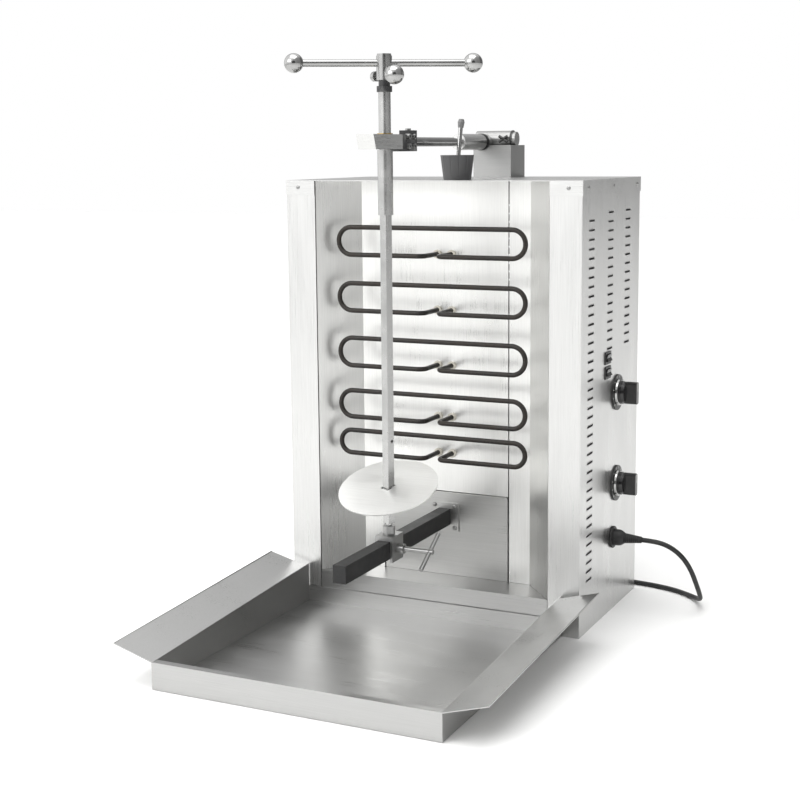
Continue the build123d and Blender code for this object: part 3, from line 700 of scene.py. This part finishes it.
class GRILL_OT_screws(bpy.types.Operator):
    """Replace the plain heads by domed cross-recess screws and by hexagon socket screws"""
    bl_idname = "grill.screws"
    bl_label = "Screws"

    def execute(self, context):
        tree = screw_tree()
        for node, body, hexagon in (("cabinet_screws", "cabinet", False), ("arm_clamp_screws", "arm", True)):
            kinds = {}
            for low, high in islands(node):
                size = high - low
                axis = min(range(3), key=lambda i: size[i])
                facing = Vector((0, 0, 0))
                facing[axis] = {0: math.copysign(1, low.x + high.x), 1: -1, 2: 1}[axis]
                seat = (low + high) / 2 - facing * size[axis] / 2
                kinds.setdefault((round(max(size) / 2, 5), round(size[axis], 5)), []).append((seat, facing))
            for number, ((radius, height), heads) in enumerate(sorted(kinds.items())):
                name = f"{node}_{number + 1}"
                piece = grown(name, tree, points_mesh(name, [h[0] for h in heads], [h[1] for h in heads]),
                              {"Radius": radius, "Height": height, "Hexagon": hexagon,
                               "Material": MADE["bracket"]}, 40)
                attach(piece, body)
                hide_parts(node)
        return {"FINISHED"}


class GRILL_OT_controls(bpy.types.Operator):
    """Put printed ticks on the dials, and a bright skirt and a white line on each knob"""
    bl_idname = "grill.controls"
    bl_label = "Dials and knobs"

    def execute(self, context):
        centres = [(DIAL_FACE + 0.03 * MM, KNOB_Y, z) for z in KNOB_Z]
        ticks = grown("dial_ticks", tick_tree(), points_mesh("dial_ticks", centres),
                      {"Count": TICKS, "Radius": TICK_ARC, "Length": TICK_LENGTH, "Material": MADE["print"]})
        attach(ticks, "cabinet")
        for level, z in zip(("upper", "lower"), KNOB_Z):
            # painted shade: the skirt takes the darkened ball steel
            skirt = lathe(f"knob_skirt_{level}", SKIRT_PROFILE, (DIAL_FACE + 0.6 * MM, KNOB_Y, z), "ball")
            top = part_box("knob_" + level)[1]
            x = top.x - 0.5 * MM
            ends = ((x, KNOB_Y, z + LINE_INSET), (x, KNOB_Y, top.z - LINE_INSET))
            line = curve_piece(f"knob_line_{level}", [ends], LINE_RADIUS, "print")
            for piece in (skirt, line):
                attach(piece, "heat_knob_" + level)
        return {"FINISHED"}


class GRILL_OT_inlet(bpy.types.Operator):
    """Turn the cable gland and its ribbed bend relief"""
    bl_idname = "grill.inlet"
    bl_label = "Cable inlet"

    def execute(self, context):
        face = PANEL_HIGH.x
        centre = (face, (RELIEF_LOW.y + RELIEF_HIGH.y) / 2, (RELIEF_LOW.z + RELIEF_HIGH.z) / 2)
        gland = lathe("cable_gland_turned", GLAND_PROFILE, centre, "rubber")
        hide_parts("cable_gland")
        ribs = ribbed_profile((RELIEF_LOW.x - face) / MM, (RELIEF_HIGH.x - face) / MM)
        relief = lathe("bend_relief_ribbed", ribs, centre, "rubber")
        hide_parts("strain_relief")
        for piece in (gland, relief):
            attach(piece, "cabinet")
        return {"FINISHED"}


class GRILL_OT_tube_fittings(bpy.types.Operator):
    """Fit the black cross knob, and a black ring near the end of the cross tube above the housing that stands
    partly for the end disc's edge and partly for painted shadow round it
    """
    bl_idname = "grill.tube_fittings"
    bl_label = "Cross tube fittings"

    def execute(self, context):
        low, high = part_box("arm_cross_tube")
        radius = (high.z - low.z) / 2 / MM
        centre = (low + high) / 2
        x, y = high.x - 19 * MM, low.y - 4.5 * MM
        reach, rise = 8 * MM, 5 * MM
        bars = [[(x - reach, y, centre.z - side * rise), (x + reach, y, centre.z + side * rise)]
                for side in (-1, 1)]
        bars.append([(x, low.y + 2 * MM, centre.z), (x, y - 2.5 * MM, centre.z)])
        knob = curve_piece("tube_cross_knob", bars, 2.6 * MM, "knob")
        # black ring: partly the edge of the tube's end disc, partly painted shadow round it
        ring = lathe("tube_end_shadow_ring", ((0, radius - 1), (0, radius + 0.5), (0.4, radius + 0.8),
                                       (2.2, radius + 0.8), (2.6, radius + 0.5), (2.6, radius - 1),
                                       (0, radius - 1)), (high.x - 9 * MM, centre.y, centre.z), "enamel")
        for piece in (knob, ring):
            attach(piece, "cabinet")
        return {"FINISHED"}


class GRILL_OT_hems(bpy.types.Operator):
    """Roll a hem along the outer edge of both flaps of the drip tray"""
    bl_idname = "grill.hems"
    bl_label = "Tray hems"

    def execute(self, context):
        low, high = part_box("drip_tray")
        tip, front, rear = high.x - HEM_RADIUS, low.y + HEM_RADIUS, high.y - FLAP_SHORT
        paths = [[(side * tip, front, HEM_FRONT), (side * tip, rear, HEM_REAR)] for side in (-1, 1)]
        # painted shade: the hems take the darkened tray sheet
        piece = curve_piece("tray_hems", paths, HEM_RADIUS, "shaded_tray_sheet")
        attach(piece, "tray")
        return {"FINISHED"}


class GRILL_OT_coil_ties(bpy.types.Operator):
    """Bind the stored coil of the lead with two flat ties"""
    bl_idname = "grill.coil_ties"
    bl_label = "Coil ties"

    def execute(self, context):
        centre = (COIL_LOW + COIL_HIGH) / 2
        outer = (COIL_HIGH.x - COIL_LOW.x) / 2
        middle, reach = outer - LEAD_D - 0.4 * MM, LEAD_D + 0.2 * MM
        paths = []
        for degrees, inside, outside in TIES:
            radial = Vector((math.cos(math.radians(degrees)), math.sin(math.radians(degrees)), 0))
            hub = Vector((centre.x, centre.y, 0)) + radial * middle
            for shift in (-1.2, 0, 1.2):
                side = Vector((-radial.y, radial.x, 0)) * shift * MM
                corners = ((-1, TIE_BOTTOM), (1, TIE_BOTTOM), (1, outside), (-1, inside))
                paths.append([tuple(hub + side + radial * across * reach + Vector((0, 0, z)))
                              for across, z in corners])
        piece = curve_piece("coil_ties", paths, TIE_RADIUS, "rubber", closed=True)
        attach(piece, "cabinet")
        return {"FINISHED"}


class GRILL_OT_stage(bpy.types.Operator):
    """Set the floor, the soft lights and the camera"""
    bl_idname = "grill.stage"
    bl_label = "Studio"

    def execute(self, context):
        scene = context.scene
        floor_mesh = bpy.data.meshes.new("studio_floor")
        corners = ((-1, -1), (1, -1), (1, 1), (-1, 1))
        floor_mesh.from_pydata([(x * FLOOR_HALF, y * FLOOR_HALF, 0) for x, y in corners], [], [(0, 1, 2, 3)])
        material, tree, shader, place = new_material("studio_paper")
        fibre = noise(tree, place, 5 * MM, 3.0)
        paper = linear(scene.grill_colours.floor)
        tree.links.new(mixed(tree, ranged(tree, fibre, 0.0, 1.0), shade(paper, 0.99), paper),
                       shader.inputs["Base Color"])
        shader.inputs["Roughness"].default_value = 0.95
        shader.inputs["Specular IOR Level"].default_value = 0.1
        floor_mesh.materials.append(material)
        floor = link("studio_floor", floor_mesh)
        scene.world = studio_world()
        scene.view_settings.view_transform = "Standard"
        power = scene.grill_sizes.light
        soft_light("key", (-1.5, -2.6, 2.2), (0.0, 0.0, 0.35), (2.2, 1.6), power)
        soft_light("top", (0.0, -0.6, 3.2), (0.0, -0.1, 0.0), (2.6, 2.2), power * 1.1)
        scene.camera = studio_camera()
        return {"FINISHED"}


OPERATORS = (GRILL_OT_finishes, GRILL_OT_slot_rims, GRILL_OT_screws, GRILL_OT_controls, GRILL_OT_inlet,
             GRILL_OT_tube_fittings, GRILL_OT_hems, GRILL_OT_lead, GRILL_OT_coil_ties, GRILL_OT_stage)


class GRILL_PT_panel(bpy.types.Panel):
    """Shows the grill's colours, sizes and operator buttons"""
    bl_idname = "GRILL_PT_panel"
    bl_label = "Vertical spit grill"
    bl_space_type = "VIEW_3D"
    bl_region_type = "UI"
    bl_category = "Grill"

    def draw(self, context):
        for group in (context.scene.grill_colours, context.scene.grill_sizes):
            for key in group.__annotations__:
                self.layout.prop(group, key)
        for operator in OPERATORS:
            self.layout.operator(operator.bl_idname)


CLASSES = (GrillColours, GrillSizes, *OPERATORS, GRILL_PT_panel)


def register():
    for item in CLASSES:
        bpy.utils.register_class(item)
    bpy.types.Scene.grill_colours = bpy.props.PointerProperty(type=GrillColours)
    bpy.types.Scene.grill_sizes = bpy.props.PointerProperty(type=GrillSizes)


def unregister():
    del bpy.types.Scene.grill_sizes
    del bpy.types.Scene.grill_colours
    for item in reversed(CLASSES):
        bpy.utils.unregister_class(item)


def main():
    register()
    for operator in OPERATORS:
        group, name = operator.bl_idname.split(".")
        getattr(getattr(bpy.ops, group), name)()


if __name__ == "__main__":
    main()
